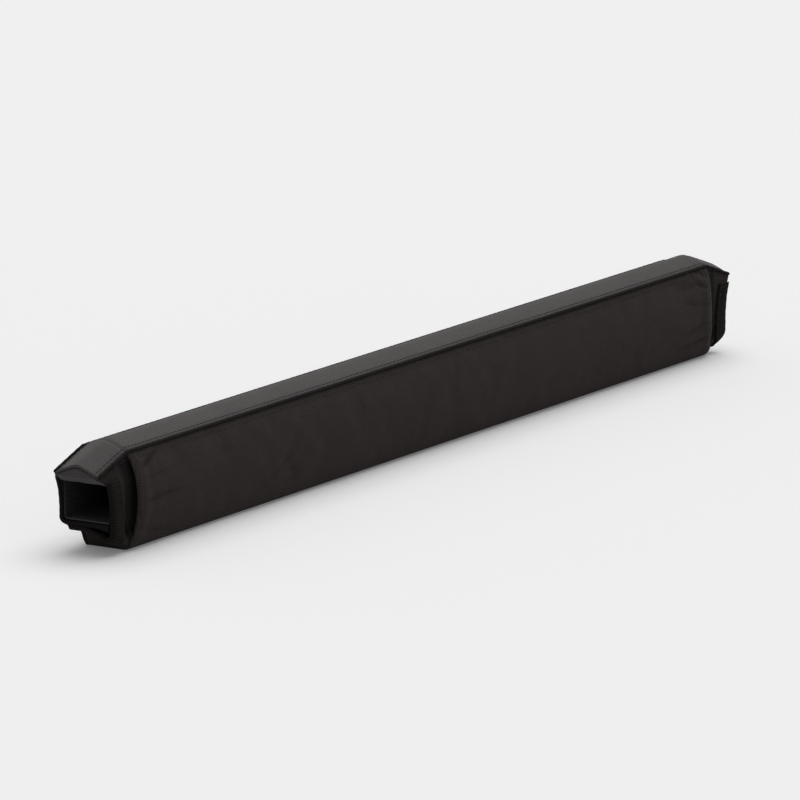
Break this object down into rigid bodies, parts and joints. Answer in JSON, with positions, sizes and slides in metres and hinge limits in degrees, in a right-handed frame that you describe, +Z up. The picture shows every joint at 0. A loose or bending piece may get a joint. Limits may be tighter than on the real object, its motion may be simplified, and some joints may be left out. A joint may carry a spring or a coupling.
{
  "type": "roof rack pad",
  "caption": "Long padded fabric sleeve that wraps a square roof bar: roof-shaped foam top, sloped noses, bound mouths and a hook-and-loop flap underneath.",
  "frame": {"origin": "on the ground under the middle of the pad, at the centre of the flat underside's outline box", "axes": "+Y along the pad and the bar it wraps, +Z up through the padded top, +X towards the front panel"},
  "size_m": [0.0472, 0.76, 0.0681],
  "materials": {
    "top_cloth": "woven polyester, greyed top face",
    "side_cloth": "woven polyester, near black",
    "welt_cord": "cloth covered cord, near black",
    "binding_tape": "ribbed woven tape, near black",
    "foam": "closed-cell foam, charcoal",
    "grip_lining": "dotted non-slip lining, black",
    "hook_closure": "hook tape, black",
    "loop_closure": "brushed loop tape, black"
  },
  "bodies": {
    "root": {"foam_core": "foam", "front_side_pad": "foam", "rear_side_pad": "foam", "channel_liner": "grip_lining", "top_panel": "top_cloth", "front_panel": "side_cloth", "rear_panel": "side_cloth", "front_welt": "welt_cord", "rear_welt": "welt_cord", "front_flap_cover": "side_cloth", "rear_flap_cover": "side_cloth", "near_nose_facing": "side_cloth", "far_nose_facing": "side_cloth", "near_front_binding": "binding_tape", "near_rear_binding": "binding_tape", "far_front_binding": "binding_tape", "far_rear_binding": "binding_tape", "flap_edge_binding": "binding_tape", "hook_tape": "hook_closure", "loop_tape": "loop_closure"}
  },
  "joints": []
}
